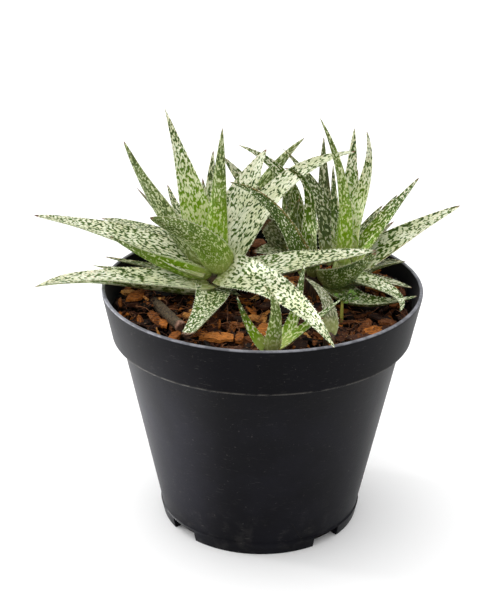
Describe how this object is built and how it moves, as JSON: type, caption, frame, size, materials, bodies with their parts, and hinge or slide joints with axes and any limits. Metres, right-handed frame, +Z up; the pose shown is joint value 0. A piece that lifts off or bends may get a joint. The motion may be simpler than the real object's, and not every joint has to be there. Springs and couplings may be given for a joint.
{
  "type": "potted aloe",
  "caption": "Small speckled aloe with several heads of tapering toothed leaves, in a tapered nursery pot with a banded rim, filled with bark mix.",
  "frame": {"origin": "middle of the pot's flat base, on the plane that it stands on", "axes": "+Z up along the pot's axis, -Y towards the side that the picture shows, +X to its right"},
  "size_m": [0.1773, 0.13, 0.169],
  "materials": {
    "pot_plastic": "satin black moulded plastic",
    "bark_mix": "rough red-brown bark chips and coir",
    "aloe_leaf": "waxy green skin with cream blotches",
    "dull_leaf": "dull grey-green skin",
    "dead_stalk": "dry fibrous stalk",
    "seedling_leaf": "thin soft green leaf"
  },
  "bodies": {
    "root": {"pot": "pot_plastic", "potting_mix": "bark_mix", "aloe_left": "aloe_leaf", "aloe_right": "aloe_leaf", "aloe_back_left": "aloe_leaf", "aloe_back_right": "aloe_leaf", "pup_front": "aloe_leaf", "pup_dull": "dull_leaf", "dead_stub": "dead_stalk", "seedling": "seedling_leaf"}
  },
  "joints": []
}
